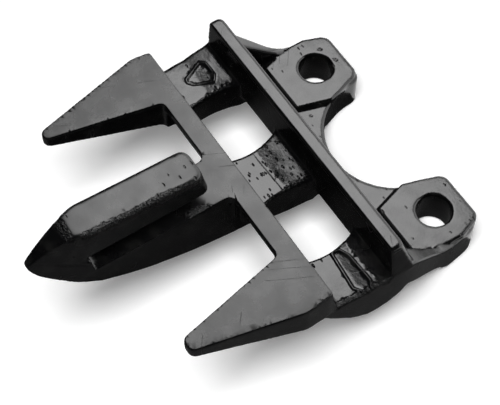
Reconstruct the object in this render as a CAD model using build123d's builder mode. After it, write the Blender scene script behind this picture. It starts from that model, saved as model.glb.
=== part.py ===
"""Forged three-finger knife guard for the cutter bar of a mower.

The guard is one forging. Two ears are bolted under the cutter bar, three
arms carry a crossbar in front of them, and three fingers point forward.
X runs along the cutter bar, the fingers point to -Y and Z is up. The origin
is midway between the two bolts, on the raised seats of the ears.
"""

import os

from build123d import *

# Bolts and ears
bolt_spacing = 76.2
bolt_bore = 13.2
bore_edge = 0.8
ear_thickness = 16.6
ear_side = 53.4
ear_rear = 13.0
ear_corner = 9.0
ear_inner_corner = 4.0
gap_centre = 9.0
gap_radius = 25.6

# Raised seats on the ears, measured from the bolt line
seat_rise = 2.2
seat_front = 16.6
seat_inner = 26.4
seat_outer = 49.2
seat_inner_middle = 22.4
seat_outer_middle = 52.2
seat_middle = 3.2
seat_rear = 12.4
seat_rear_inner = 29.6
seat_rear_outer = 46.2

# Ledger plane and crossbar
ledger_height = 30.5
bar_rear = 60.3
bar_width = 7.6
bar_half_length = 57.5
bar_front_wall = 3.2
bar_depth = 11.0
bar_foot = 2.6

# Outer fingers, measured from the crossbar
finger_spacing = 96.7
finger_reach = 42.6
finger_root = 23.4
finger_tip = 5.6
finger_tip_depth = 4.8
finger_root_depth = 13.6
finger_tip_radius = 2.4
shoulder_setback = 3.2
shoulder_radius = 5.0
left_shoulder_setback = -1.9
left_trim = 1.8
inner_corner = 1.8

# Centre finger: ledger, lip, slot, nose and belly
ledger_width = 17.8
nose_reach = 81.2
nose_start = 60.8
nose_height = 9.5
nose_tip_width = 2.0
facet_width = 9.8
facet_taper = 0.3
facet_lean = 0.155
lip_width = 14.6
lip_top_width = 12.6
lip_rear = 16.6
lip_rear_height = 17.1
lip_front_height = 19.4
lip_flat_end = 64.6
lip_edge = 1.1
lip_end_radius = 3.4
lip_end_lean = 2.2
slot_height = 6.6
parting_height = 5.0
belly_draft = 2.6
belly_depth = 27.9
belly_front_depth = 10.2
root_corner = 3.0
root_block = 4.0

# Arms and windows, measured from the rear edge of the crossbar
arm_drop = 14.3
arm_depth = 12.4
arm_flat = 13.0
arm_rise = 1.8
arm_foot = 3.0
arm_side = 59.4
arm_waist = 58.6
centre_arm_waist = 10.1
centre_arm_root = 12.8
window_side_waist = 38.9
window_side_root = 36.2
window_waist = 11.5
window_corner = 2.0
rib_reach = 17.0
rib_depth = 29.6

# Rail behind the windows
rail_front = 24.4
rail_thickness = 5.2
rail_rise = 2.0
rail_half_length = 57.0
rail_end_radius = 2.2
rail_foot = 24.8
rail_foot_drop = 19.4
rail_relief = 4.4
web_front = 40.5

# Shoulders that run down from the rail to the ears, and the recess between
shoulder_start = 34.4
shoulder_end = 47.0
shoulder_end_drop = 25.4
shoulder_inner = 51.4
recess_corner = 2.5
underside_lean = 1.6
belly_rise = 0.6
belly_fall = 6.4

# Planes and places that follow from the sizes above
bar_y = -bar_rear
bar_front_y = bar_y - bar_width
tip_y = bar_front_y - finger_reach
nose_y = bar_y - nose_reach
slot_end_y = bar_y - nose_start
lip_rear_y = bar_y - lip_rear
lip_flat_end_y = bar_y - lip_flat_end
rail_foot_y = bar_y + rail_foot
web_front_y = bar_y + web_front
rail_y = bar_y + rail_front
rail_rear_y = rail_y + rail_thickness
shoulder_y = bar_y + shoulder_start
arm_z = ledger_height - arm_drop
arm_floor_z = arm_z - arm_depth
rail_top_z = ledger_height + rail_rise
web_z = -seat_rise
floor_z = -ear_thickness
slope_end = (bar_y + shoulder_end, ledger_height - shoulder_end_drop)
slope_start = (shoulder_y, slope_end[1] + shoulder_end - shoulder_start)
rail_toe = (rail_foot_y, ledger_height - rail_foot_drop)
rail_heel = (rail_foot_y + rail_relief, arm_floor_z - 1.5)
finger_x = finger_spacing / 2
reach = 2 * arm_side


# Arms, shoulders and ears: side profile across the whole guard
with BuildPart() as bed:
    with BuildSketch(Plane.YZ):
        with BuildLine():
            Polyline(
                (bar_y, ledger_height - 1.0),
                (bar_y + arm_foot, arm_z),
                (bar_y + arm_flat, arm_z),
                (rail_foot_y, arm_z + arm_rise),
                slope_start,
                slope_end,
            )
            slope_foot = (slope_end[0] + 5.0, slope_end[1] - 5.0)
            Bezier(slope_end, slope_foot, (-4.0, web_z), (4.0, web_z))
            Polyline((4.0, web_z), (reach, web_z), (reach, floor_z), (0.0, floor_z))
            foot = (bar_y + 52.5, floor_z + 5.0)
            knee = (slope_start[0] - underside_lean, arm_floor_z + 0.2)
            toe = (rail_foot_y + 2.3, arm_floor_z + 2.8)
            root = (bar_front_y + 1.0, ledger_height - finger_root_depth)
            Bezier((0.0, floor_z), (-5.0, floor_z), foot)
            Polyline(foot, knee, toe)
            Bezier(toe, (toe[0] - 9.0, arm_floor_z - 4.4), (root[0] + 12.9, arm_floor_z + 0.4), root)
            Polyline(root, (root[0], ledger_height - 1.0), (bar_y, ledger_height - 1.0))
        make_face()
    extrude(amount=reach, both=True)

    # Bellies under the arms: even on the centre arm, sloping out to the side on the outer ones
    with BuildSketch(Plane.YZ):
        with BuildLine():
            Bezier(toe, (toe[0] - 11.6, arm_floor_z - 9.2), (root[0] + 8.9, arm_floor_z + 0.5), root)
            Polyline(root, (toe[0], arm_z - 4.0), toe)
        make_face()
    extrude(amount=centre_arm_root, both=True)
    with BuildSketch(Plane.YZ.offset(window_side_root - 1.0)):
        with BuildLine():
            Bezier(knee, (knee[0] - 17.3, arm_floor_z - 11.4), (root[0] + 19.8, arm_floor_z - 6.2), root)
            Polyline(root, (toe[0], arm_z - 4.0), knee)
        make_face()
    extrude(amount=reach)
    mirror(about=Plane.YZ)
    with BuildSketch(Plane.XZ.offset(-knee[0])):
        with BuildLine():
            Polyline(
                (window_side_root - 2.0, arm_floor_z + belly_rise),
                (window_side_root, arm_floor_z + belly_rise),
                (arm_waist, arm_floor_z - belly_fall),
                (arm_waist, floor_z),
                (window_side_root - 2.0, floor_z),
                close=True,
            )
        make_face()
    extrude(amount=knee[0] - root[0], mode=Mode.SUBTRACT)
    mirror(about=Plane.YZ, mode=Mode.INTERSECT)

    # Plan outline: waisted arms, necked shoulders and rounded ears
    with BuildSketch(Plane.XY.offset(floor_z)) as ear_outline:
        with BuildLine() as right_side:
            waist = (arm_waist, bar_y + window_waist)
            neck = (arm_side, rail_rear_y - 2.0)
            flank = (ear_side, -3.0)
            ThreePointArc((bar_half_length, bar_front_y), waist, neck)
            Bezier(neck, (neck[0], shoulder_y + 4.0), (flank[0] + 1.6, slope_end[0] - 4.0), flank)
            Polyline(
                flank,
                (seat_rear_outer + 4.4, ear_rear),
                (seat_inner, ear_rear),
                (gap_radius, gap_centre),
            )
            RadiusArc((gap_radius, gap_centre), (0.0, gap_centre - gap_radius), gap_radius)
            mirror(about=Plane.YZ)
            Line((-bar_half_length, bar_front_y), (bar_half_length, bar_front_y))
        make_face()
        rear = ear_outline.vertices().group_by(Axis.Y)[-1]
        fillet([v for v in rear if abs(v.X) > seat_rear_outer], ear_corner)
        rear = ear_outline.vertices().group_by(Axis.Y)[-1]
        fillet([v for v in rear if abs(v.X) < seat_rear_inner], ear_inner_corner)
    extrude(amount=reach, mode=Mode.INTERSECT)

    # Recess behind the rail, down to the web that joins the ears
    with BuildSketch(Plane.XY.offset(web_z)) as recess:
        with Locations((0.0, (rail_rear_y + reach) / 2)):
            Rectangle(2 * shoulder_inner, reach - rail_rear_y)
        fillet(recess.vertices().group_by(Axis.Y)[0], recess_corner)
    extrude(amount=reach, mode=Mode.SUBTRACT)

    # Windows between the arms, open under the crossbar as far as its front
    with BuildSketch(Plane.XY.offset(ledger_height)) as windows:
        with BuildLine() as window:
            front = bar_y
            middle = bar_y + window_waist
            ThreePointArc(
                (centre_arm_root, front), (centre_arm_waist, middle), (centre_arm_root, rail_foot_y)
            )
            Line((centre_arm_root, rail_foot_y), (window_side_root, rail_foot_y))
            ThreePointArc(
                (window_side_root, rail_foot_y), (window_side_waist, middle), (window_side_root, front)
            )
            Polyline(
                (window_side_root, front),
                (window_side_root, bar_front_y),
                (centre_arm_root, bar_front_y),
                (centre_arm_root, front),
            )
        make_face()
        fillet(windows.vertices().group_by(Axis.Y)[-1], window_corner)
        mirror(about=Plane.YZ)
    extrude(amount=-reach, mode=Mode.SUBTRACT)

    # Relief under the rail at each window
    with BuildSketch(Plane.YZ.offset(centre_arm_root)):
        with BuildLine():
            Polyline(
                rail_toe,
                rail_heel,
                (rail_heel[0] + 4.0, floor_z),
                (rail_toe[0] - 1.0, floor_z),
                (rail_toe[0] - 1.0, rail_toe[1]),
                close=True,
            )
        make_face()
    extrude(amount=window_side_root - centre_arm_root, mode=Mode.SUBTRACT)
    mirror(about=Plane.YZ, mode=Mode.INTERSECT)

    # Raised seats round the bolts
    with BuildSketch(Plane.XY.offset(web_z - 1.0)) as seats:
        with BuildLine():
            Polyline(
                (seat_inner, -seat_front),
                (seat_outer, -seat_front),
                (seat_outer_middle, -seat_middle),
                (seat_outer_middle, seat_middle),
                (seat_rear_outer + 2.6, seat_rear),
                (seat_rear_inner - 2.0, seat_rear),
                (seat_inner_middle + 2.0, seat_middle),
                (seat_inner_middle, -seat_middle),
                close=True,
            )
        make_face()
        fillet(seats.vertices().group_by(Axis.Y)[-1], 4.0)
        mirror(about=Plane.YZ)
    extrude(amount=seat_rise + 1.0)

# Rail across the three arms, with ends that flare down to the arms
with BuildPart() as rail:
    with BuildSketch(Plane.YZ):
        with BuildLine():
            Polyline(
                (rail_y, rail_top_z),
                (rail_rear_y, rail_top_z),
                (shoulder_y, slope_start[1]),
                (web_front_y, web_z),
                (web_front_y, web_z - 2.5),
                rail_heel,
                rail_toe,
                close=True,
            )
        make_face()
    extrude(amount=reach, both=True)
    with BuildSketch(Plane.XZ):
        with BuildLine():
            Polyline(
                (rail_half_length, reach),
                (rail_half_length, rail_top_z),
                (arm_side, arm_z),
                (shoulder_inner, web_z),
                (shoulder_inner, -reach),
                (0.0, -reach),
                (0.0, reach),
                close=True,
            )
        make_face()
        mirror(about=Plane.YZ)
    extrude(amount=reach, both=True, mode=Mode.INTERSECT)
    for side in (-1, 1):
        end = (side * arm_side, rail_rear_y, (rail_top_z + arm_z) / 2)
        fillet(rail.edges().sort_by_distance(end)[0], rail_end_radius)

# Crossbar and outer fingers, ground flat on top as one ledger plane
with BuildPart() as plate:
    with BuildSketch(Plane.YZ):
        with BuildLine():
            Polyline(
                (tip_y - 1.0, ledger_height),
                (bar_y, ledger_height),
                (bar_y + bar_foot, arm_z - 1.0),
                (bar_front_y, ledger_height - finger_root_depth),
                (tip_y - 1.0, ledger_height - finger_tip_depth),
                close=True,
            )
        make_face()
    extrude(amount=reach, both=True)
    with BuildSketch(Plane.XY.offset(floor_z)) as fingers:
        with BuildLine():
            inner_root = (finger_x - finger_root / 2, bar_front_y)
            outer_root = (finger_x + finger_root / 2, bar_front_y - shoulder_setback)
            Polyline(
                inner_root,
                (finger_x - finger_tip / 2, tip_y),
                (finger_x + finger_tip / 2, tip_y),
                outer_root,
                (bar_half_length + 1.5, bar_y - 1.6),
                (bar_half_length, bar_y + arm_foot),
                (0.0, bar_y + arm_foot),
                (0.0, bar_front_y - root_block),
                (ledger_width / 2, bar_front_y - root_block),
                (ledger_width / 2, bar_front_y),
                close=True,
            )
        make_face()
        mirror(about=Plane.YZ)

        # The left finger is trimmed closer on its outer side
        with BuildLine():
            left_root = (-outer_root[0], bar_front_y - left_shoulder_setback)
            left_tip = (left_trim - finger_x - finger_tip / 2, tip_y - 0.5)
            Polyline(
                left_root,
                left_tip,
                (-reach, left_tip[1]),
                (-reach, left_root[1]),
                close=True,
            )
        make_face(mode=Mode.SUBTRACT)
        fillet(fingers.vertices().group_by(Axis.Y)[0], finger_tip_radius)
        corners = (
            (ledger_width / 2, bar_front_y, root_corner),
            (inner_root[0], inner_root[1], inner_corner),
        )
        for x, y, radius in corners:
            for side in (-1, 1):
                fillet(fingers.vertices().sort_by_distance((side * x, y, floor_z))[0], radius)
        for x, y in (outer_root, left_root):
            fillet(fingers.vertices().sort_by_distance((x, y, floor_z))[0], shoulder_radius)
    extrude(amount=reach, mode=Mode.INTERSECT)

    # Undercut that leaves the crossbar thin along its front edge
    with BuildSketch(Plane.YZ):
        with BuildLine():
            undercut_y = bar_front_y - root_block - 1.0
            Polyline(
                (undercut_y, ledger_height - bar_front_wall),
                (bar_front_y, ledger_height - bar_front_wall),
                (bar_y - 1.0, ledger_height - bar_depth),
                (bar_y - 1.0, floor_z),
                (undercut_y, floor_z),
                close=True,
            )
        make_face()
    extrude(amount=inner_root[0] - inner_corner, both=True, mode=Mode.SUBTRACT)

# Centre finger in plan: ledger with drafted belly, and the lip above it
with BuildPart() as finger_plan:
    with BuildSketch(Plane.XY.offset(ledger_height)) as ledger:
        with BuildLine():
            side = (ledger_width / 2, slot_end_y + 2.0)
            nose_side = (nose_tip_width / 2, nose_y - 0.6)
            Line((ledger_width / 2, rail_foot_y + 1.0), side)
            Bezier(side, (side[0], slot_end_y - 7.0), (nose_side[0] + 4.0, nose_y + 4.5), nose_side)
            Line(nose_side, (0.0, nose_side[1]))
            mirror(about=Plane.YZ)
            Line((-ledger_width / 2, rail_foot_y + 1.0), (ledger_width / 2, rail_foot_y + 1.0))
        make_face()
    extrude(amount=-rib_depth - 1.0, taper=belly_draft)
    extrude(ledger.sketch, amount=parting_height)
    with BuildSketch(Plane.XY.offset(ledger_height + parting_height)) as lip:
        with BuildLine():
            side = (lip_width / 2, slot_end_y + 5.0)
            nose_side = (nose_tip_width / 2, nose_y - 0.2)
            rear_side = (lip_width / 2, lip_rear_y + 2 * lip_end_lean)
            Line(rear_side, side)
            Bezier(side, (side[0], slot_end_y - 8.0), (nose_side[0] + 4.2, nose_y + 4.5), nose_side)
            Line(nose_side, (0.0, nose_side[1]))
            mirror(about=Plane.YZ)
            Line((-rear_side[0], rear_side[1]), rear_side)
        make_face()
    extrude(amount=lip_front_height)
    with BuildSketch(Plane.XZ):
        with BuildLine():
            parting_z = ledger_height + parting_height
            Polyline(
                (0.0, floor_z),
                (ledger_width, floor_z),
                (ledger_width, parting_z),
                (lip_width / 2, parting_z),
                (lip_top_width / 2, parting_z + lip_front_height),
                (0.0, parting_z + lip_front_height),
                close=True,
            )
        make_face()
        mirror(about=Plane.YZ)
    extrude(amount=2 * reach, both=True, mode=Mode.INTERSECT)

# Centre finger: side profile with the slot under its lip
with BuildPart() as centre:
    with BuildSketch(Plane.YZ):
        with BuildLine():
            lip_top = (lip_rear_y, ledger_height + lip_rear_height)
            flat_end = (lip_flat_end_y, ledger_height + lip_front_height)
            nose_tip = (nose_y, ledger_height + nose_height)
            belly_front = (slot_end_y + 1.5, ledger_height - belly_front_depth)
            belly_rear = (bar_front_y, ledger_height - belly_depth)
            Line(lip_top, flat_end)
            Bezier(
                flat_end,
                (flat_end[0] - 5.0, flat_end[1] - 1.4),
                (nose_y + 2.6, nose_tip[1] + 3.6),
                nose_tip,
            )
            Bezier(
                nose_tip,
                (nose_y + 0.4, nose_tip[1] - 7.0),
                (belly_front[0] - 11.0, belly_front[1] + 8.5),
                belly_front,
            )
            Bezier(
                belly_front,
                (belly_front[0] + 15.6, belly_front[1] - 9.7),
                (belly_rear[0] - 16.1, belly_rear[1] + 1.9),
                belly_rear,
            )
            rib_foot = (bar_y + rib_reach, ledger_height - rib_depth)
            rib_end = (rail_foot_y + 0.5, arm_floor_z + 2.5)
            Bezier(
                belly_rear,
                (belly_rear[0] + 8.0, belly_rear[1] - 1.0),
                (rib_foot[0] - 8.0, rib_foot[1] - 0.4),
                rib_foot,
            )
            Bezier(rib_foot, (rib_foot[0] + 3.5, rib_foot[1]), (rib_end[0] - 1.5, rib_end[1] - 3.0), rib_end)
            Polyline(
                rib_end,
                (rib_end[0], arm_z - 2.0),
                (bar_y + 1.5, arm_z - 2.0),
                (bar_y, ledger_height),
                (slot_end_y, ledger_height),
                (slot_end_y - 0.8, ledger_height + slot_height),
                (lip_rear_y + lip_end_lean, ledger_height + slot_height),
                lip_top,
            )
        make_face()
    extrude(amount=reach, both=True)
    add(finger_plan.part, mode=Mode.INTERSECT)
    for side in (-1, 1):
        corner = (side * lip_width / 2, lip_rear_y, ledger_height + slot_height + parting_height)
        fillet(centre.edges().sort_by_distance(corner)[0], lip_end_radius)
    flat = centre.faces().filter_by(lambda f: abs(f.normal_at().Z) > 0.9).sort_by(Axis.Z)[-1]
    fillet(flat.edges().filter_by(lambda e: e.center().Y > flat.center().Y - 10.0), lip_edge)

    # Slanted flats on both sides of the nose
    for side in (-1, 1):
        facet_top = Vector(side * facet_width / 2, lip_flat_end_y, flat_end[1])
        facet_run = Vector(-side * facet_taper, -1.0, 0.0)
        facet_fall = Vector(side * facet_lean, 0.0, -1.0)
        facet = Plane(origin=facet_top, x_dir=facet_run, z_dir=side * facet_run.cross(facet_fall))
        split(bisect_by=facet, keep=Keep.BOTTOM)

with BuildPart() as guard:
    add(bed.part)
    add(rail.part)
    add(plate.part)
    add(centre.part)

    # Bolt bores through the seats, with their lower rims broken
    with Locations((-bolt_spacing / 2, 0.0, 0.0), (bolt_spacing / 2, 0.0, 0.0)):
        Hole(bolt_bore / 2, depth=ear_thickness)
    rims = guard.edges().filter_by(GeomType.CIRCLE).filter_by(lambda e: abs(e.radius - bolt_bore / 2) < 0.01)
    chamfer(rims.group_by(Axis.Z)[0], bore_edge)

guard.part.label = "knife_guard"
os.makedirs("parts", exist_ok=True)
export_step(guard.part, "parts/knife_guard.step")
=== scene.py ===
"""Looks of a forged three-finger knife guard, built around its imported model.

The guard is one forging, dipped in glossy black paint. Its skin is a dense copy
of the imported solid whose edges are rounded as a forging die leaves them, whose
ledger is ground flat again, and which carries a forging's pits, torn edges, seams
and bare raised rims. Sizes are in millimetres and are turned into metres
where a mesh, lamp or camera is made.
"""

import logging
import math
from dataclasses import dataclass, field
from enum import Enum
from typing import Any

import bmesh
import bpy
import numpy as np
from mathutils import Matrix, Vector

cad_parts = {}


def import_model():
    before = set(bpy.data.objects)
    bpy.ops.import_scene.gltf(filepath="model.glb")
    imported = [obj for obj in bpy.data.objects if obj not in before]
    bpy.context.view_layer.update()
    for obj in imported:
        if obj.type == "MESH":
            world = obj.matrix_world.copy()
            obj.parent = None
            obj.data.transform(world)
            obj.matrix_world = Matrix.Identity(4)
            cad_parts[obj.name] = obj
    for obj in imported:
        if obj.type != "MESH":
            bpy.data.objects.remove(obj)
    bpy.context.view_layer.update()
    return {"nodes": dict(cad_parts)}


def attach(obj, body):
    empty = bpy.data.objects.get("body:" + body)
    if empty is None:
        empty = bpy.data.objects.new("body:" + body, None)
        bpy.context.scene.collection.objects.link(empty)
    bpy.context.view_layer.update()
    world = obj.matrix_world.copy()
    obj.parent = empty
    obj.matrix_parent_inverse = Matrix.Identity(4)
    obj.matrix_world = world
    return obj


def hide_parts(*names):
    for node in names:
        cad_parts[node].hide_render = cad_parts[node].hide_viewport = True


LOG = logging.getLogger("knife_guard")
MM = 0.001
NODE = "knife_guard"
BODY = "root"
PER_SQUARE_METRE = 1e4  # what one in each square centimetre is in a square metre

Point = tuple[float, float, float]
Corner = tuple[float, float]


class Arm(Enum):
    """The three arms that carry the crossbar, by the side they stand on."""

    LEFT = -1
    CENTRE = 0
    RIGHT = 1


class Socket:
    """A node's output that takes part in sums and products."""

    def __init__(self, graph: "Graph", socket: bpy.types.NodeSocket) -> None:
        """Wrap one output of a node in the graph's tree."""
        self.graph = graph
        self.socket = socket

    def _math(self, operation: str, *values: Any) -> "Socket":
        """Add a Math node on these values and return its result."""
        settings = {"operation": operation}
        return self.graph.add("ShaderNodeMath", settings, dict(enumerate(values)))[0]

    def __add__(self, other: Any) -> "Socket":
        """Return self + other."""
        return self._math("ADD", self, other)

    def __radd__(self, other: Any) -> "Socket":
        """Return other + self."""
        return self._math("ADD", other, self)

    def __sub__(self, other: Any) -> "Socket":
        """Return self - other."""
        return self._math("SUBTRACT", self, other)

    def __rsub__(self, other: Any) -> "Socket":
        """Return other - self."""
        return self._math("SUBTRACT", other, self)

    def __mul__(self, other: Any) -> "Socket":
        """Return self * other."""
        return self._math("MULTIPLY", self, other)

    def __rmul__(self, other: Any) -> "Socket":
        """Return other * self."""
        return self._math("MULTIPLY", other, self)

    def __truediv__(self, other: Any) -> "Socket":
        """Return self / other."""
        return self._math("DIVIDE", self, other)

    def __rtruediv__(self, other: Any) -> "Socket":
        """Return other / self."""
        return self._math("DIVIDE", other, self)

    def __abs__(self) -> "Socket":
        """Return the size of self without its sign."""
        return self._math("ABSOLUTE", self)

    def above(self, low: Any, high: Any) -> "Socket":
        """Return 0 below low and 1 above high, with a smooth step between.

        Args:
            low: Number or Socket at which the step starts.
            high: Number or Socket at which it ends; below low, the step goes down.

        Returns:
            The step as a socket.
        """
        settings = {"interpolation_type": "SMOOTHSTEP"}
        values = {"Value": self, "From Min": low, "From Max": high}
        return self.graph.add("ShaderNodeMapRange", settings, values)[0]

    def at_least(self, other: Any) -> "Socket":
        """Return the larger of self and other."""
        return self._math("MAXIMUM", self, other)


class Made:
    """A node that was just made, read by output number or name."""

    def __init__(self, graph: "Graph", node: bpy.types.Node) -> None:
        """Keep the node and the graph that it belongs to."""
        self.graph = graph
        self.node = node

    def __getitem__(self, key: int | str) -> Socket:
        """Return one output.

        Args:
            key: Name of the output, or its number among those that are switched on.

        Returns:
            The output as a socket.
        """
        if isinstance(key, int):
            shown = [socket for socket in self.node.outputs if socket.enabled]
            return Socket(self.graph, shown[key])
        named = [s for s in self.node.outputs if s.enabled and s.name == key]
        return Socket(self.graph, named[0])


class Graph:
    """Makes and joins the nodes of one shader or geometry tree."""

    def __init__(self, tree: bpy.types.NodeTree) -> None:
        """Start with an empty tree."""
        self.tree = tree
        tree.nodes.clear()

    def add(
        self,
        kind: str,
        settings: dict | None = None,
        values: dict | None = None,
    ) -> Made:
        """Make a node, set it, then fill its inputs.

        Args:
            kind: Type name of the node.
            settings: Properties of the node, set before its inputs.
            values: Input number or name, with a number, a tuple or a Socket.

        Returns:
            The node, to be read by output.
        """
        node = self.tree.nodes.new(kind)
        for name, setting in (settings or {}).items():
            setattr(node, name, setting)
        for key, value in (values or {}).items():
            self._fill(node, key, value)
        return Made(self, node)

    def _fill(self, node: bpy.types.Node, key: int | str, value: Any) -> None:
        """Link or set one input of a node.

        Args:
            node: Node that has the input.
            key: Number or name of the input.
            value: Socket to link, or number or tuple to set.
        """
        if isinstance(key, int):
            target = node.inputs[key]
        else:
            target = [s for s in node.inputs if s.enabled and s.name == key][0]
        if isinstance(value, Socket):
            self.tree.links.new(value.socket, target)
        else:
            target.default_value = value

    def vector(self, operation: str, *values: Any) -> Socket:
        """Add a Vector Math node on these values and return its result."""
        settings = {"operation": operation}
        return self.add("ShaderNodeVectorMath", settings, dict(enumerate(values)))[0]


@dataclass(frozen=True)
class BarePlate:
    """A raised rim round a bare field on top of an arm.

    Attributes:
        arm: Arm that carries the plate.
        outline: Corners of the rim's middle line, as x and y.
        rim_width: Width of the rim at its foot.
        rim_height: Height of the rim above the arm.
        field_depth: How far the bare field lies below the arm.
    """

    arm: Arm
    outline: tuple[Corner, ...]
    rim_width: float
    rim_height: float
    field_depth: float

    def lift(self, spots: np.ndarray) -> np.ndarray:
        """Return how far the plate lifts the arm's top at each spot.

        Args:
            spots: Rows of x and y.

        Returns:
            One height for each row.
        """
        corners = np.array(self.outline)
        nearest = np.full(len(spots), np.inf)
        inside = np.zeros(len(spots), dtype=bool)
        for start, end in zip(corners, np.roll(corners, -1, axis=0)):
            run = end - start
            along = np.clip((spots - start) @ run / (run @ run), 0.0, 1.0)
            gap = np.linalg.norm(spots - start - along[:, None] * run, axis=1)
            nearest = np.minimum(nearest, gap)
            crosses = (start[1] > spots[:, 1]) != (end[1] > spots[:, 1])
            rise = run[1] if run[1] else 1.0
            crossing_x = start[0] + (spots[:, 1] - start[1]) * run[0] / rise
            inside ^= crosses & (spots[:, 0] < crossing_x)
        rim = np.clip(1.0 - 2.0 * nearest / self.rim_width, 0.0, 1.0)
        rim = rim * rim * (3.0 - 2.0 * rim)
        sunk = inside * np.clip(2.0 * nearest / self.rim_width, 0.0, 1.0)
        return self.rim_height * rim - self.field_depth * sunk


@dataclass(frozen=True)
class TornBand:
    """A strip of skin that was torn when the flash was trimmed, or a seam in it.

    Attributes:
        path: Points of its middle line.
        reach: How far the torn skin reaches to each side of that line.
        seam: Depth of a clean seam, below 0 for a raised one; 0 where the skin is torn.
    """

    path: tuple[Point, ...]
    reach: float
    seam: float = 0.0

    def depth(self, points: np.ndarray) -> np.ndarray:
        """Return how far each point lies inside the band, below 0 outside.

        Args:
            points: Rows of x, y and z.

        Returns:
            One distance for each row.
        """
        corners = np.array(self.path)
        nearest = np.full(len(points), np.inf)
        for start, end in zip(corners, corners[1:]):
            run = end - start
            along = np.clip((points - start) @ run / (run @ run), 0.0, 1.0)
            gap = np.linalg.norm(points - start - along[:, None] * run, axis=1)
            nearest = np.minimum(nearest, gap)
        return self.reach - nearest


@dataclass(frozen=True)
class GroundFace:
    """A face that is ground flat after the forging.

    Attributes:
        level: Height of the face.
        front_y: Front end of the face.
        rear_y: Rear end of the face.
    """

    level: float
    front_y: float
    rear_y: float

    def holds(self, points: np.ndarray, below: float, above: float) -> np.ndarray:
        """Return which points lie in a thin layer round the face.

        Args:
            points: Rows of x, y and z.
            below: How far the layer reaches below the face.
            above: How far it reaches above the face.

        Returns:
            One truth value for each row.
        """
        height = points[:, 2] - self.level
        along = (points[:, 1] > self.front_y) & (points[:, 1] < self.rear_y)
        return along & (height > -below) & (height < above)


@dataclass(frozen=True)
class PitPatch:
    """A box of the skin with its own pits.

    Attributes:
        low: Lowest corner.
        high: Highest corner.
        density: Large pits for each square centimetre.
        pocks: Share of the places for small pits that have one.
    """

    low: Point
    high: Point
    density: float
    pocks: float = 0.0

    def holds(self, points: np.ndarray) -> np.ndarray:
        """Return which rows of x, y and z lie in the box."""
        return np.all((points > self.low) & (points < self.high), axis=1)


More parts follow.
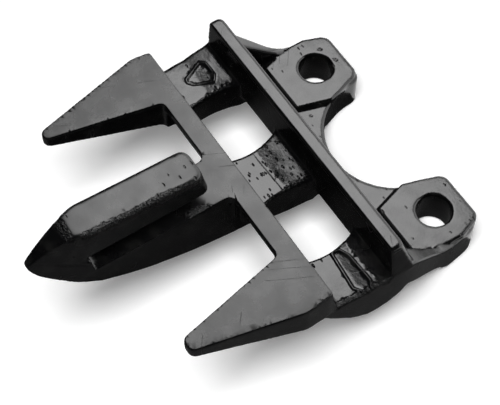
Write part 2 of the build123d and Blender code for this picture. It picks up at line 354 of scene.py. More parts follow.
@dataclass
class SkinRelief:
    """Geometry tree that gives the skin its waves, torn bands and pits.

    Attributes:
        wave_length: Distance between the forging's shallow waves.
        wave_height: Height of those waves.
        tear_length: Distance between the teeth of a torn band's edge.
        tear_depth: Depth of the torn skin.
        tear_stray: How far the teeth reach over the edge of their band.
        tear_edge: Depths inside the band between which the skin gets torn.
        tear_grain: Length of the bumps in torn skin, as a share of the teeth's distance.
        tear_swing: How much those bumps change the torn skin's depth.
        pit_radius: Radius of the largest pit.
        pit_depth: Depth of the largest pit.
        least_pit: Size of the smallest pit, as a share of the largest.
        seed: Seed of the pits' places.
    """

    wave_length: float = 9.0
    wave_height: float = 0.10
    tear_length: float = 1.7
    tear_depth: float = 0.3
    tear_stray: float = 1.6
    tear_edge: tuple[float, float] = (-0.15, 0.25)
    tear_grain: float = 0.6
    tear_swing: float = 1.3
    pit_radius: float = 0.95
    pit_depth: float = 0.34
    least_pit: float = 0.3
    seed: int = 11

    def tree(self) -> bpy.types.GeometryNodeTree:
        """Build the tree with one named input for each size.

        Returns:
            The tree, which ends in Realize Instances and Set Material.
        """
        tree = bpy.data.node_groups.new("skin relief", "GeometryNodeTree")
        graph = Graph(tree)
        face = tree.interface
        face.new_socket("Geometry", in_out="INPUT", socket_type="NodeSocketGeometry")
        for name in self.sizes():
            face.new_socket(name, in_out="INPUT", socket_type="NodeSocketFloat")
        face.new_socket("Seed", in_out="INPUT", socket_type="NodeSocketInt")
        face.new_socket("Paint", in_out="INPUT", socket_type="NodeSocketMaterial")
        face.new_socket("Geometry", in_out="OUTPUT", socket_type="NodeSocketGeometry")
        given = graph.add("NodeGroupInput")
        place = graph.add("GeometryNodeInputPosition")[0]
        normal = graph.add("GeometryNodeInputNormal")[0]
        torn = self._torn(graph, given, place)
        height = self._waves(graph, given, place) - self._tears(graph, given, place, torn)
        height = height - self._pits(graph, given, place)
        scale = {0: normal, "Scale": height}
        offset = graph.add("ShaderNodeVectorMath", {"operation": "SCALE"}, scale)[0]
        move = {"Geometry": given["Geometry"], "Offset": offset}
        moved = graph.add("GeometryNodeSetPosition", None, move)[0]
        noted = graph.add(
            "GeometryNodeStoreNamedAttribute",
            {"data_type": "FLOAT", "domain": "POINT"},
            {"Geometry": moved, "Name": "torn", "Value": torn},
        )[0]
        real = graph.add("GeometryNodeRealizeInstances", None, {"Geometry": noted})[0]
        finish = {"Geometry": real, "Material": given["Paint"]}
        painted = graph.add("GeometryNodeSetMaterial", None, finish)[0]
        graph.add("NodeGroupOutput", None, {"Geometry": painted})
        return tree

    def sizes(self) -> dict[str, float]:
        """Return the tree's named sizes.

        Returns:
            A length in metres for each name.
        """
        return {
            "Wave length": self.wave_length * MM,
            "Wave height": self.wave_height * MM,
            "Tear length": self.tear_length * MM,
            "Tear depth": self.tear_depth * MM,
            "Pit radius": self.pit_radius * MM,
            "Pit depth": self.pit_depth * MM,
        }

    @staticmethod
    def _share(graph: Graph, name: str) -> Socket:
        """Read one of the skin's own attributes."""
        kind = "GeometryNodeInputNamedAttribute"
        return graph.add(kind, {"data_type": "FLOAT"}, {"Name": name})[0]

    @staticmethod
    def _noise(graph: Graph, place: Socket, length: Socket, detail: float) -> Socket:
        """Return noise from -1 to 1 with bumps of a length."""
        values = {"Vector": place, "Scale": 1.0 / length, "Detail": detail}
        return (graph.add("ShaderNodeTexNoise", None, values)[0] - 0.5) * 2.0

    def _waves(self, graph: Graph, given: Made, place: Socket) -> Socket:
        """Return the height of the shallow waves, which ground faces hardly have."""
        noise = self._noise(graph, place, given["Wave length"], 2.0)
        return noise * given["Wave height"] * self._share(graph, "forged")

    def _torn(self, graph: Graph, given: Made, place: Socket) -> Socket:
        """Return 1 inside the torn bands, whose edges are ragged."""
        noise = self._noise(graph, place, given["Tear length"], 3.0)
        depth = self._share(graph, "band depth") + self.tear_stray * noise
        return depth.above(*self.tear_edge)

    def _tears(self, graph: Graph, given: Made, place: Socket, torn: Socket) -> Socket:
        """Return the depth of the torn skin, which is rough."""
        noise = self._noise(graph, place, given["Tear length"] * self.tear_grain, 2.0)
        return torn * given["Tear depth"] * (1.0 + self.tear_swing * noise)

    def _pits(self, graph: Graph, given: Made, place: Socket) -> Socket:
        """Return the depth of the pit nearest to each point.

        Args:
            graph: Graph of the tree.
            given: Inputs of the tree.
            place: Position of each point.

        Returns:
            The depth as a socket, 0 outside the pit.
        """
        spread = {
            "Mesh": given["Geometry"],
            "Density": self._share(graph, "pitted"),
            "Seed": given["Seed"],
        }
        pits = graph.add("GeometryNodeDistributePointsOnFaces", None, spread)[0]
        nearest = graph.add("GeometryNodeSampleNearest", None, {"Geometry": pits})[0]
        read_place = {"Geometry": pits, "Value": place, "Index": nearest}
        sample = "GeometryNodeSampleIndex"
        centre = graph.add(sample, {"data_type": "FLOAT_VECTOR"}, read_place)[0]
        draw = {"Min": self.least_pit, "Max": 1.0, "Seed": given["Seed"]}
        drawn = graph.add("FunctionNodeRandomValue", None, draw)[0]
        read_share = {"Geometry": pits, "Value": drawn, "Index": nearest}
        share = graph.add(sample, {"data_type": "FLOAT"}, read_share)[0]
        gap = graph.vector("DISTANCE", place, centre)
        reach = given["Pit radius"] * share
        bowl = (1.0 - gap / reach).above(0.0, 1.0)
        return bowl * given["Pit depth"] * share


@dataclass
class Skin:
    """The guard's visible skin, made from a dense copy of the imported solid.

    Attributes:
        weld: Gap below which two points of the solid's mesh are one.
        grain: Edge length of the dense copy.
        edge_rounds: Rounds of smoothing on forged edges.
        edge_pull: How far each round moves a point to the middle of its neighbours.
        ledger: The ground face that the fingers and the crossbar share.
        ledger_layer: Reach of the ledger's own points round its height, in grains.
        grind: How far the ledger stands proud before it is ground.
        seat_z: Height of the raised seats.
        level_slack: How far a flat face's points may lie from its height.
        ledger_calm: How much of the waves the ledger loses.
        seat_calm: How much of the waves the seats lose.
        arm_top: Lowest and highest point of the arms' tops.
        arm_tilt: Least upward part of the normal on the arms' tops.
        plates: Bare plates on the arms.
        patches: Boxes with their own pits.
        bands: Torn strips of skin and seams.
        stray_pits: Large pits for each square centimetre elsewhere.
        stray_pocks: Share of the places for small pits that have one elsewhere.
        most_triangles: Largest number of triangles that is kept.
    """

    weld: float = 0.001
    grain: float = 0.42
    edge_rounds: int = 9
    edge_pull: float = 0.5
    ledger: GroundFace = GroundFace(30.5, -121.0, -59.5)
    ledger_layer: float = 0.6
    grind: float = 0.45
    seat_z: float = 0.0
    level_slack: float = 0.05
    ledger_calm: float = 0.85
    seat_calm: float = 0.5
    arm_top: tuple[float, float] = (15.6, 19.0)
    arm_tilt: float = 0.8
    plates: tuple[BarePlate, ...] = ()
    patches: tuple[PitPatch, ...] = ()
    bands: tuple[TornBand, ...] = ()
    stray_pits: float = 0.04
    stray_pocks: float = 0.02
    most_triangles: int = 190_000

    def build(
        self,
        node: bpy.types.Object,
        paint: bpy.types.Material,
        relief: SkinRelief,
    ) -> bpy.types.Object:
        """Build the skin and return it as a plain mesh object.

        Args:
            node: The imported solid.
            paint: Finish of the whole skin.
            relief: Tree that gives waves, torn skin and pits.

        Returns:
            The finished object, at the origin.
        """
        skin = self._dense_copy(node)
        self._round_edges(skin)
        self._raise_plates(skin)
        self._cut_seams(skin)
        self._mark(skin)
        self._apply_relief(skin, relief, paint)
        self._thin(skin)
        skin.data.polygons.foreach_set("use_smooth", [True] * len(skin.data.polygons))
        return skin

    def _dense_copy(self, node: bpy.types.Object) -> bpy.types.Object:
        """Return a voxel copy of the solid with an even grain.

        Args:
            node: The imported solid, whose mesh is loose triangles.

        Returns:
            The copy as a new object.
        """
        mesh = node.data.copy()
        shape = bmesh.new()
        shape.from_mesh(mesh)
        bmesh.ops.remove_doubles(shape, verts=shape.verts, dist=self.weld * MM)
        shape.to_mesh(mesh)
        shape.free()
        skin = bpy.data.objects.new("forged_skin", mesh)
        bpy.context.scene.collection.objects.link(skin)
        remesh = skin.modifiers.new("grain", "REMESH")
        remesh.mode = "VOXEL"
        remesh.voxel_size = self.grain * MM
        bake(skin)
        LOG.info("dense copy: %d points", len(skin.data.vertices))
        return skin

    def _round_edges(self, skin: bpy.types.Object) -> None:
        """Round the forged edges, then grind the ledger flat again.

        The ledger first stands proud, so that its edges stay crisp when it is ground.

        Args:
            skin: The dense copy.
        """
        points = read_points(skin)
        near = self.ledger_layer * self.grain
        points[self.ledger.holds(points, near, near), 2] += self.grind
        links = read_links(skin)
        count = np.bincount(links.ravel(), minlength=len(points)).astype(float)
        both = np.concatenate([links, links[:, ::-1]])
        for _ in range(self.edge_rounds):
            mean = np.empty_like(points)
            for axis in range(3):
                total = np.bincount(both[:, 0], points[both[:, 1], axis], len(points))
                mean[:, axis] = total / count
            points += self.edge_pull * (mean - points)
        points[self.ledger.holds(points, 0.0, 2.0 * self.grind), 2] = self.ledger.level
        write_points(skin, points)

    def _raise_plates(self, skin: bpy.types.Object) -> None:
        """Raise the bare plates on the arms' tops.

        Args:
            skin: The rounded copy.
        """
        points = read_points(skin)
        normals = read_normals(skin)
        low, high = self.arm_top
        top = (points[:, 2] > low) & (points[:, 2] < high) & (normals[:, 2] > self.arm_tilt)
        for plate in self.plates:
            points[top, 2] += plate.lift(points[top, :2])
            LOG.info("plate on the %s arm", plate.arm.name.lower())
        write_points(skin, points)

    def _cut_seams(self, skin: bpy.types.Object) -> None:
        """Cut the clean seams, or raise them where their depth is below 0.

        Args:
            skin: The rounded copy.
        """
        points = read_points(skin)
        normals = read_normals(skin)
        for band in self.bands:
            if band.seam:
                share = np.clip(band.depth(points) / band.reach, 0.0, 1.0)
                points -= band.seam * share[:, None] * normals
                LOG.info("seam of %d points", np.count_nonzero(share))
        write_points(skin, points)

    def _mark(self, skin: bpy.types.Object) -> None:
        """Store where the skin is forged, torn and pitted.

        Args:
            skin: The copy with its plates and seams.
        """
        points = read_points(skin)
        ground = self.ledger.holds(points, self.level_slack, self.level_slack)
        seat = np.abs(points[:, 2] - self.seat_z) < self.level_slack
        pitted = np.full(len(points), self.stray_pits)
        pocked = np.where(ground, 0.0, self.stray_pocks)
        depth = np.full(len(points), -np.inf)
        for patch in self.patches:
            held = patch.holds(points)
            pitted[held] = patch.density
            pocked[held] = patch.pocks
        for band in self.bands:
            if not band.seam:
                depth = np.maximum(depth, band.depth(points))
        marks = {
            "forged": 1.0 - self.ledger_calm * ground - self.seat_calm * seat,
            "pocked": pocked,
            "band depth": depth,
            "pitted": pitted * PER_SQUARE_METRE,
        }
        for name, values in marks.items():
            layer = skin.data.attributes.new(name, "FLOAT", "POINT")
            layer.data.foreach_set("value", values.astype(np.float32))

    @staticmethod
    def _apply_relief(
        skin: bpy.types.Object,
        relief: SkinRelief,
        paint: bpy.types.Material,
    ) -> None:
        """Run the relief's tree on the skin and keep its result.

        Args:
            skin: The copy with its marks.
            relief: Tree that gives waves, torn skin and pits.
            paint: Finish that the tree sets.
        """
        modifier = skin.modifiers.new("relief", "NODES")
        modifier.node_group = relief.tree()
        inputs = {**relief.sizes(), "Seed": relief.seed, "Paint": paint}
        for item in modifier.node_group.interface.items_tree:
            if item.in_out == "INPUT" and item.name in inputs:
                modifier[item.identifier] = inputs[item.name]
        bake(skin)

    def _thin(self, skin: bpy.types.Object) -> None:
        """Merge faces where the skin is nearly flat.

        Args:
            skin: The finished skin, in faces of four corners.
        """
        triangles = 2 * len(skin.data.polygons)
        if triangles > self.most_triangles:
            thin = skin.modifiers.new("thin", "DECIMATE")
            thin.ratio = self.most_triangles / triangles
            bake(skin)
        LOG.info("skin: %d faces", len(skin.data.polygons))


def bake(piece: bpy.types.Object) -> None:
    """Replace a piece's mesh by the result of its modifiers.

    Args:
        piece: Object whose modifiers are applied and removed.
    """
    graph = bpy.context.evaluated_depsgraph_get()
    graph.update()
    result = bpy.data.meshes.new_from_object(
        piece.evaluated_get(graph),
        preserve_all_data_layers=True,
        depsgraph=graph,
    )
    piece.modifiers.clear()
    old = piece.data
    piece.data = result
    bpy.data.meshes.remove(old)


def read_points(piece: bpy.types.Object) -> np.ndarray:
    """Return a mesh's points.

    Args:
        piece: Object that has the mesh.

    Returns:
        Rows of x, y and z in millimetres.
    """
    flat = np.empty(3 * len(piece.data.vertices))
    piece.data.vertices.foreach_get("co", flat)
    return flat.reshape(-1, 3) / MM


def read_normals(piece: bpy.types.Object) -> np.ndarray:
    """Return the normal at each point of a mesh.

    Args:
        piece: Object that has the mesh.

    Returns:
        Rows of three parts of a normal.
    """
    flat = np.empty(3 * len(piece.data.vertices), dtype=np.float32)
    piece.data.vertex_normals.foreach_get("vector", flat)
    return flat.reshape(-1, 3)


def read_links(piece: bpy.types.Object) -> np.ndarray:
    """Return a mesh's edges.

    Args:
        piece: Object that has the mesh.

    Returns:
        Rows of two point numbers.
    """
    flat = np.empty(2 * len(piece.data.edges), dtype=np.int64)
    piece.data.edges.foreach_get("vertices", flat)
    return flat.reshape(-1, 2)


def write_points(piece: bpy.types.Object, points: np.ndarray) -> None:
    """Move a mesh's points to rows of x, y and z in millimetres."""
    piece.data.vertices.foreach_set("co", (points * MM).ravel())
    piece.data.update()


@dataclass(frozen=True)
class BlackPaint:
    """Glossy black dip paint over a forged skin.

    Attributes:
        colour: Colour of the paint.
        film: Colour of the dusty film on it.
        film_length: Distance between the film's patches.
        film_edge: Noise between which the film sets in.
        gloss: Roughness of a clean forged face.
        ground_gloss: Roughness of the ground ledger.
        ledger_z: Height of the ground ledger.
        ledger_edge: Distances from that height between which the ledger's gloss sets in.
        lip_gloss: Roughness of the centre finger's lip.
        lip_z: Heights between which the lip's gloss sets in.
        smears: How much smears change the roughness.
        smear_length: Distance between smears.
        ior: Index of refraction of the paint.
        peel_length: Distance between the bumps of the paint's surface.
        peel_height: Height of those bumps.
        pock_length: Distance between the places for small pits.
        pock_depth: Depth of a small pit.
        pock_drift: How far the small pits stray from their rows.
        pock_drift_length: Distance over which that straying changes.
        pock_stretch: How the pits' pattern is squeezed along X, Y and Z.
        pock_reach: Reach of the smallest pit, and what the largest has on top of it.
        pock_floor: Share of its reach at which a small pit is deepest.
        tear_length: Distance between the bumps of torn skin.
        tear_height: Height of those bumps.
        scratch_turns: Turns about Z of the stray scratches, in degrees.
        scratch_stretch: How the scratches' noise is squeezed along, across and down.
        scratch_length: Distance between scratches.
        scratch_width: Noise at which a scratch ends and at which it is deepest.
        scratch_depth: Depth of a scratch.
        scratch_gloss: How much rougher a scratch is.
        group_length: Distance between groups of scratches.
        group_edge: Noise between which a group sets in.
    """

    colour: Point = (0.002, 0.002, 0.0022)
    film: Point = (0.006, 0.006, 0.0058)
    film_length: float = 5.0
    film_edge: tuple[float, float] = (0.45, 0.7)
    gloss: float = 0.17
    ground_gloss: float = 0.28
    ledger_z: float = 30.5
    ledger_edge: tuple[float, float] = (0.14, 0.07)
    lip_gloss: float = 0.29
    lip_z: tuple[float, float] = (44.0, 45.0)
    smears: float = 0.2
    smear_length: float = 8.0
    ior: float = 1.5
    peel_length: float = 1.1
    peel_height: float = 0.02
    pock_length: float = 1.3
    pock_depth: float = 0.5
    pock_drift: float = 0.9
    pock_drift_length: float = 2.5
    pock_stretch: Point = (0.45, 1.0, 0.8)
    pock_reach: tuple[float, float] = (0.24, 0.16)
    pock_floor: float = 0.3
    tear_length: float = 0.6
    tear_height: float = 0.6
    scratch_turns: tuple[float, ...] = (35.0, -62.0)
    scratch_stretch: Point = (0.08, 1.0, 0.2)
    scratch_length: float = 9.0
    scratch_width: tuple[float, float] = (0.006, 0.002)
    scratch_depth: float = 0.006
    scratch_gloss: float = 0.15
    group_length: float = 13.0
    group_edge: tuple[float, float] = (0.6, 0.64)

    def build(self) -> bpy.types.Material:
        """Build the material.

        Returns:
            The material, which reads the skin's marks and Object coordinates.
        """
        paint = bpy.data.materials.new("black dip paint")
        paint.use_nodes = True
        graph = Graph(paint.node_tree)
        place = graph.add("ShaderNodeTexCoord")["Object"]
        torn = graph.add("ShaderNodeAttribute", {"attribute_name": "torn"})["Fac"]
        scratch = self._scratches(graph, place)
        film = self._noise(graph, place, self.film_length, 5.0).above(*self.film_edge)
        colour = graph.add(
            "ShaderNodeMix",
            {"data_type": "RGBA"},
            {"Factor": film, "A": (*self.colour, 1.0), "B": (*self.film, 1.0)},
        )[0]
        relief = self._relief(graph, place, torn, scratch)
        bumps = {"Height": relief, "Strength": 1.0, "Distance": MM}
        bump = graph.add("ShaderNodeBump", None, bumps)
        shader = graph.add(
            "ShaderNodeBsdfPrincipled",
            None,
            {
                "Base Color": colour,
                "Roughness": self._roughness(graph, place, torn, scratch),
                "IOR": self.ior,
                "Normal": bump["Normal"],
            },
        )[0]
        graph.add("ShaderNodeOutputMaterial", None, {"Surface": shader})
        return paint

    def _roughness(self, graph: Graph, place: Socket, torn: Socket, scratch: Socket) -> Socket:
        """Return the roughness, which ground faces, the lip, smears and scratches change.

        Args:
            graph: Graph of the material.
            place: Object coordinates.
            torn: 1 where the skin is torn.
            scratch: 1 on a scratch.

        Returns:
            The roughness as a socket.
        """
        height = graph.add("ShaderNodeSeparateXYZ", None, {0: place})["Z"] / MM
        ground = abs(height - self.ledger_z).above(*self.ledger_edge)
        lip = height.above(*self.lip_z)
        smear = self._noise(graph, place, self.smear_length, 4.0)
        roughness = self.gloss + ground * (self.ground_gloss - self.gloss)
        roughness = roughness + lip * (self.lip_gloss - self.gloss)
        roughness = roughness + (1.0 - torn) * self.smears * (smear - 0.5)
        return roughness + self.scratch_gloss * scratch

    def _relief(self, graph: Graph, place: Socket, torn: Socket, scratch: Socket) -> Socket:
        """Return the height of the paint's fine relief in millimetres.

        Args:
            graph: Graph of the material.
            place: Object coordinates.
            torn: 1 where the skin is torn.
            scratch: 1 on a scratch.

        Returns:
            The height as a socket.
        """
        peel = self.peel_height * self._noise(graph, place, self.peel_length, 2.0)
        tears = torn * self.tear_height * self._noise(graph, place, self.tear_length, 2.0)
        pocks = self.pock_depth * self._pocks(graph, place)
        return peel + tears - pocks - self.scratch_depth * scratch

    def _pocks(self, graph: Graph, place: Socket) -> Socket:
        """Return 1 in the middle of each small pit, which is longer along the cutter bar.

        Args:
            graph: Graph of the material.
            place: Object coordinates.

        Returns:
            The share of a pit's depth as a socket.
        """
        pocked = graph.add("ShaderNodeAttribute", {"attribute_name": "pocked"})["Fac"]
        waves = {"Vector": place, "Scale": 1.0 / (self.pock_drift_length * MM)}
        drift = graph.add("ShaderNodeTexNoise", None, waves)["Color"]
        strayed = graph.vector("MULTIPLY_ADD", drift, (self.pock_drift * MM,) * 3, place)
        drawn = graph.vector("MULTIPLY", strayed, self.pock_stretch)
        spread = {"Vector": drawn, "Scale": 1.0 / (self.pock_length * MM)}
        cells = graph.add("ShaderNodeTexVoronoi", None, spread)
        random = graph.add("ShaderNodeSeparateColor", None, {0: cells["Color"]})
        least, more = self.pock_reach
        reach = least + more * random["Green"]
        bowl = cells["Distance"].above(reach, self.pock_floor * reach)
        return bowl * (pocked - random["Red"]).above(0.0, 0.02)

    def _scratches(self, graph: Graph, place: Socket) -> Socket:
        """Return 1 on thin stray scratches that run in a few directions.

        Args:
            graph: Graph of the material.
            place: Object coordinates.

        Returns:
            The share of a scratch's depth as a socket.
        """
        total: Any = 0.0
        for turn in self.scratch_turns:
            values = {"Vector": place, "Angle": math.radians(turn)}
            settings = {"rotation_type": "Z_AXIS"}
            turned = graph.add("ShaderNodeVectorRotate", settings, values)[0]
            drawn = graph.vector("MULTIPLY", turned, self.scratch_stretch)
            line = abs(self._noise(graph, drawn, self.scratch_length, 1.0) - 0.5)
            group = self._noise(graph, turned, self.group_length, 1.0).above(*self.group_edge)
            total = line.above(*self.scratch_width) * group + total
        return total

    @staticmethod
    def _noise(graph: Graph, place: Socket, length: float, detail: float) -> Socket:
        """Return noise from 0 to 1 with bumps of a length in millimetres."""
        values = {"Vector": place, "Scale": 1.0 / (length * MM), "Detail": detail}
        return graph.add("ShaderNodeTexNoise", None, values)[0]


@dataclass(frozen=True)
class SoftLamp:
    """A rectangle of light that hangs over the guard.

    Attributes:
        name: Name of the lamp.
        place: Middle of the lamp.
        size: Edges of the lamp.
        power: Power of the lamp, in watts.
        mirrored: True if only mirror rays see the lamp, False if all but they do.
    """

    name: str
    place: Point
    size: Corner
    power: float
    mirrored: bool

    def build(self, aim: Point) -> None:
        """Hang the lamp so that it faces a point, with its width along the cutter bar.

        Args:
            aim: Point that the lamp faces.
        """
        light = bpy.data.lights.new(self.name, "AREA")
        light.shape = "RECTANGLE"
        light.size, light.size_y = (edge * MM for edge in self.size)
        light.energy = self.power
        lamp = bpy.data.objects.new(self.name, light)
        lamp.location = Vector(self.place) * MM
        back = (Vector(self.place) - Vector(aim)).normalized()
        side = (Vector((1.0, 0.0, 0.0)) - back.x * back).normalized()
        lamp.rotation_euler = Matrix((side, back.cross(side), back)).transposed().to_euler()
        lamp.visible_glossy = self.mirrored
        lamp.visible_diffuse = not self.mirrored
        bpy.context.scene.collection.objects.link(lamp)


@dataclass(frozen=True)
class Studio:
    """The pale floor, the lamps, and the dark felt and tent round the guard, which carry painted
    shade and a painted glow.

    Attributes:
        aim: Point that the lamps face.
        soft_box: Lamp that the upward faces mirror.
        key: Lamp that lights the floor and casts the shadows.
        floor_z: Height of the floor, at the ears' undersides.
        floor_size: Edge of the floor.
        floor_albedo: Share of light that the floor gives back.
        floor_glow: What the floor adds where it is seen or mirrored.
        felt_lift: Height of the dark felt above the floor.
        felt_rear: Rear edge of the felt; the floor behind it stays pale.
        felt_albedo: Share of light that the felt gives back under the guard, lower there as
            painted shade, and beside it.
        felt_painted_shade_fade: Distances from the middle between which the felt's painted shade
            fades and it gets lighter.
        sky: Level of the even light from all round.
        tent_radius: Radius of the dark tent.
        tent_steps: Steps round the tent's wall.
        tent_painted_glow: Strength of the glow on the tent's wall behind the guard, a painted
            reflection that only mirror rays see.
        tent_painted_glow_edge: Shares of the radius, towards +Y, between which the wall's painted
            glow sets in.
    """

    aim: Point = (0.0, -60.0, 0.0)
    soft_box: SoftLamp = SoftLamp(
        "soft box",
        place=(-422.0, 225.0, 860.0),
        size=(390.0, 430.0),
        power=3.45,
        mirrored=True,
    )
    key: SoftLamp = SoftLamp(
        "key lamp",
        place=(190.0, -270.0, 900.0),
        size=(440.0, 440.0),
        power=9.5,
        mirrored=False,
    )
    floor_z: float = -16.6
    floor_size: float = 6000.0
    floor_albedo: float = 0.95
    floor_glow: float = 0.18
    felt_lift: float = 0.3
    felt_rear: float = 12.0
    felt_albedo: Corner = (0.03, 0.1)
    felt_painted_shade_fade: Corner = (18.0, 42.0)
    sky: float = 0.12
    tent_radius: float = 1500.0
    tent_steps: int = 48
    tent_painted_glow: float = 2.5
    tent_painted_glow_edge: Corner = (0.42, 0.6)

    def build(self) -> None:
        """Build floor, felt, lamps, tent and world."""
        self._sheet("floor", 0.0, self.floor_size / 2, self._floor_paper())
        self._only_mirrored(self._sheet("dark felt", self.felt_lift, self.felt_rear, self._felt_with_painted_shade()))
        self._only_mirrored(self._tent_with_painted_glow())
        self.soft_box.build(self.aim)
        self.key.build(self.aim)
        self._world()

    @staticmethod
    def _stage(
        name: str,
        mesh: bpy.types.Mesh,
        finish: bpy.types.Material,
    ) -> bpy.types.Object:
        """Return a mesh as a stage piece with its finish.

        Args:
            name: Name of the piece.
            mesh: Mesh of the piece.
            finish: Material of the whole piece.

        Returns:
            The piece, which isn't part of the guard.
        """
        piece = bpy.data.objects.new(name, mesh)
        bpy.context.scene.collection.objects.link(piece)
        mesh.materials.append(finish)
        return piece

    @staticmethod
    def _only_mirrored(piece: bpy.types.Object) -> None:
        """Hide a stage piece from all but mirror rays.

        Args:
            piece: Stage piece that only the paint mirrors.
        """
        piece.visible_camera = False
        piece.visible_diffuse = False
        piece.visible_shadow = False

    def _sheet(
        self,
        name: str,
        lift: float,
        rear: float,
        finish: bpy.types.Material,
    ) -> bpy.types.Object:
        """Lay a flat sheet.

        Args:
            name: Name of the sheet.
            lift: Height above the floor.
            rear: Y of its rear edge.
            finish: Material of the sheet.

        Returns:
            The sheet as a stage piece.
        """
        half = self.floor_size * MM / 2
        rear = rear * MM
        z = (self.floor_z + lift) * MM
        mesh = bpy.data.meshes.new(name)
        corners = [(-half, -half, z), (half, -half, z), (half, rear, z), (-half, rear, z)]
        mesh.from_pydata(corners, [], [(0, 1, 2, 3)])
        return self._stage(name, mesh, finish)

    def _floor_paper(self) -> bpy.types.Material:
        """Return pale paper that looks white where it is fully lit.

        Returns:
            The paper's material.
        """
        paper = bpy.data.materials.new("white paper")
        paper.use_nodes = True
        graph = Graph(paper.node_tree)
        matt = self._matt(graph, self.floor_albedo)
        strength = self._seen(graph) * self.floor_glow
        glow = graph.add("ShaderNodeEmission", None, {"Strength": strength})[0]
        both = graph.add("ShaderNodeAddShader", None, {0: matt, 1: glow})[0]
        graph.add("ShaderNodeOutputMaterial", None, {"Surface": both})
        return paper

    def _felt_with_painted_shade(self) -> bpy.types.Material:
        """Return dark felt that is darker under the guard than beside it, as painted shade.

        Returns:
            The felt's material.
        """
        felt = bpy.data.materials.new("dark felt")
        felt.use_nodes = True
        graph = Graph(felt.node_tree)
        place = graph.add("ShaderNodeTexCoord")["Object"]
        side = abs(graph.add("ShaderNodeSeparateXYZ", None, {0: place})["X"] / MM)
        # Painted shade: the felt's albedo is lower under the guard, near x = 0, than beside it, so
        # mirror rays see the floor there darker.
        under, beside = self.felt_albedo
        level = under + (beside - under) * side.above(*self.felt_painted_shade_fade)
        graph.add("ShaderNodeOutputMaterial", None, {"Surface": self._matt(graph, level)})
        return felt

    @staticmethod
    def _matt(graph: Graph, albedo: Any) -> Socket:
        """Return a matt grey shader."""
        grey = graph.add("ShaderNodeCombineColor", None, {0: albedo, 1: albedo, 2: albedo})[0]
        return graph.add("ShaderNodeBsdfDiffuse", None, {"Color": grey})[0]

    @staticmethod
    def _seen(graph: Graph) -> Socket:
        """Return 1 for rays from the camera, a mirror or glass.

        Args:
            graph: Graph of the material or the world.

        Returns:
            The share as a socket.
        """
        path = graph.add("ShaderNodeLightPath")
        seen = path["Is Camera Ray"].at_least(path["Is Glossy Ray"])
        return seen.at_least(path["Is Transmission Ray"])

    def _tent_with_painted_glow(self) -> bpy.types.Object:
        """Hang a tent of dark cloth whose wall behind the guard glows, a painted reflection for
        mirror rays.

        Returns:
            The tent as a stage piece.
        """
        shape = bmesh.new()
        bmesh.ops.create_uvsphere(
            shape,
            u_segments=self.tent_steps,
            v_segments=self.tent_steps // 2,
            radius=self.tent_radius * MM,
        )
        mesh = bpy.data.meshes.new("dark tent")
        shape.to_mesh(mesh)
        shape.free()
        cloth = bpy.data.materials.new("dark cloth")
        cloth.use_nodes = True
        graph = Graph(cloth.node_tree)
        place = graph.add("ShaderNodeTexCoord")["Object"]
        behind = graph.add("ShaderNodeSeparateXYZ", None, {0: place})["Y"]
        # Painted reflection: the tent's wall towards +Y glows though it is no lamp, and only
        # mirror rays see it.
        glow = self.tent_painted_glow * (behind / (self.tent_radius * MM)).above(*self.tent_painted_glow_edge)
        shader = graph.add("ShaderNodeEmission", None, {"Strength": glow})[0]
        graph.add("ShaderNodeOutputMaterial", None, {"Surface": shader})
        return self._stage("dark tent", mesh, cloth)

    def _world(self) -> None:
        """Give the world a white background and an even, weak light."""
        world = bpy.data.worlds.new("studio")
        world.use_nodes = True
        graph = Graph(world.node_tree)
        strength = self.sky + (1.0 - self.sky) * self._seen(graph)
        light = graph.add("ShaderNodeBackground", None, {"Strength": strength})[0]
        graph.add("ShaderNodeOutputWorld", None, {"Surface": light})
        bpy.context.scene.world = world


@dataclass(frozen=True)
class PhotoCamera:
    """The camera at the photograph's viewing angle.

    Attributes:
        target: Point that the camera looks at.
        azimuth: Turn round the guard, 0 looking along +Y.
        elevation: Height above the horizon, in degrees.
        distance: Distance from the target.
        focal_pixels: Focal length in pixels of the photograph.
        width_pixels: Width of the photograph.
        sensor_width: Width of the camera's sensor.
        near_clip: Distance at which the camera starts to see.
    """

    target: Point = (14.577, -64.33, 30.5)
    azimuth: float = 57.07
    elevation: float = 58.84
    distance: float = 490.39
    focal_pixels: float = 1445.84
    width_pixels: int = 500
    sensor_width: float = 36.0
    near_clip: float = 10.0

    def build(self) -> bpy.types.Object:
        """Place the camera and make it the scene's own.

        Returns:
            The camera.
        """
        turn = math.radians(self.azimuth)
        lift = math.radians(self.elevation)
        level = math.cos(lift)
        back = Vector((level * math.sin(turn), -level * math.cos(turn), math.sin(lift)))
        lens = bpy.data.cameras.new("camera")
        lens.sensor_width = self.sensor_width
        lens.lens = self.focal_pixels * lens.sensor_width / self.width_pixels
        lens.clip_start = self.near_clip * MM
        camera = bpy.data.objects.new("camera", lens)
        camera.location = (Vector(self.target) + self.distance * back) * MM
        camera.rotation_euler = back.to_track_quat("Z", "Y").to_euler()
        bpy.context.scene.collection.objects.link(camera)
        bpy.context.scene.camera = camera
        return camera


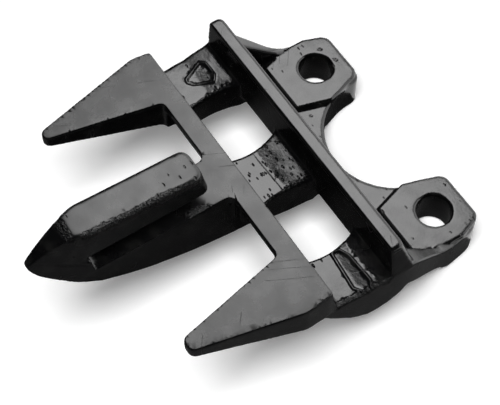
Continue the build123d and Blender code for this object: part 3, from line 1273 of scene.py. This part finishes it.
@dataclass
class KnifeGuard:
    """The whole guard: one forging with its skin.

    Attributes:
        relief: Waves, torn skin and pits.
        paint: Finish of the forging.
        plates: Bare plates on the arms.
        patches: Boxes with their own pits.
        bands: Torn strips of skin and seams.
    """

    relief: SkinRelief = field(default_factory=SkinRelief)
    paint: BlackPaint = BlackPaint()
    plates: tuple[BarePlate, ...] = (
        BarePlate(
            Arm.RIGHT,
            outline=(
                *((39.5, -47.3), (40.2, -44.4), (43.6, -43.0), (55.4, -42.4)),
                *((57.3, -43.4), (57.6, -46.6), (54.9, -48.8)),
            ),
            rim_width=1.3,
            rim_height=0.4,
            field_depth=0.1,
        ),
        BarePlate(
            Arm.LEFT,
            outline=(
                *((-53.6, -42.6), (-51.8, -40.9), (-45.8, -40.9), (-43.4, -42.6)),
                *((-46.6, -49.6), (-48.6, -51.0), (-50.2, -50.4)),
            ),
            rim_width=1.2,
            rim_height=0.4,
            field_depth=0.2,
        ),
    )
    patches: tuple[PitPatch, ...] = (
        PitPatch((-12.0, -57.5, 14.0), (12.0, -47.3, 20.0), 0.15, 0.5),
        PitPatch((-12.0, -47.3, 14.0), (12.0, -36.0, 20.0), 0.3, 0.85),
        PitPatch((38.0, -57.5, 14.0), (60.0, -50.0, 20.0), 0.1, 0.1),
        PitPatch((-60.0, -50.0, 14.0), (-38.0, -36.0, 20.0), 0.3, 0.15),
        PitPatch((-8.0, -90.0, 46.0), (8.0, -76.0, 50.0), 0.5, 0.22),
        PitPatch((-8.0, -128.0, 46.0), (8.0, -90.0, 50.5), 0.2, 0.07),
        PitPatch((-60.0, -34.0, -4.0), (60.0, 14.0, 1.0), 0.15, 0.1),
    )
    bands: tuple[TornBand, ...] = (
        TornBand(((6.4, -123.0, 49.3), (6.5, -100.0, 48.2), (6.5, -92.0, 47.6)), 1.3),
        TornBand(((6.6, -94.0, 46.8), (6.9, -84.0, 45.6), (6.4, -78.6, 44.5)), 2.0),
        TornBand(((7.4, -83.0, 31.0), (8.6, -77.5, 31.0)), 1.8),
        TornBand(((-5.0, -126.6, 49.2), (5.2, -126.4, 49.2)), 1.3),
        TornBand(((39.6, -38.6, 17.2), (58.5, -38.0, 17.2)), 2.3),
        TornBand(((57.6, -57.0, 15.9), (58.0, -47.0, 16.1), (58.4, -42.0, 16.6)), 0.9),
        TornBand(((12.2, -57.0, 15.9), (10.4, -47.0, 16.1), (10.4, -37.5, 17.4)), 0.7),
        TornBand(((-38.2, -57.0, 15.9), (-39.2, -47.0, 16.1), (-38.4, -37.5, 17.4)), 0.7),
        TornBand(((2.5, -138.9, 41.6), (5.5, -129.8, 36.8), (8.0, -121.5, 33.5)), 0.6, 0.4),
        TornBand(((-2.5, -138.9, 41.6), (-5.5, -129.8, 36.8), (-8.0, -121.5, 33.5)), 0.6, 0.4),
        TornBand(((-11.0, -47.4, 16.2), (11.0, -46.8, 16.2)), 0.7, -0.12),
    )

    def build(self, node: bpy.types.Object) -> None:
        """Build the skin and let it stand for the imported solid.

        Args:
            node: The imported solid.
        """
        skin = Skin(plates=self.plates, patches=self.patches, bands=self.bands)
        piece = skin.build(node, self.paint.build(), self.relief)
        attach(piece, BODY)
        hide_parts(NODE)
        LOG.info("built %s", piece.name)


def main() -> None:
    """Build the guard, its studio and its camera."""
    logging.basicConfig(level=logging.INFO, format="%(message)s")
    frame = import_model()
    PhotoCamera().build()
    Studio().build()
    KnifeGuard().build(frame["nodes"][NODE])
    bpy.context.scene.view_settings.view_transform = "Standard"


if __name__ == "__main__":
    main()
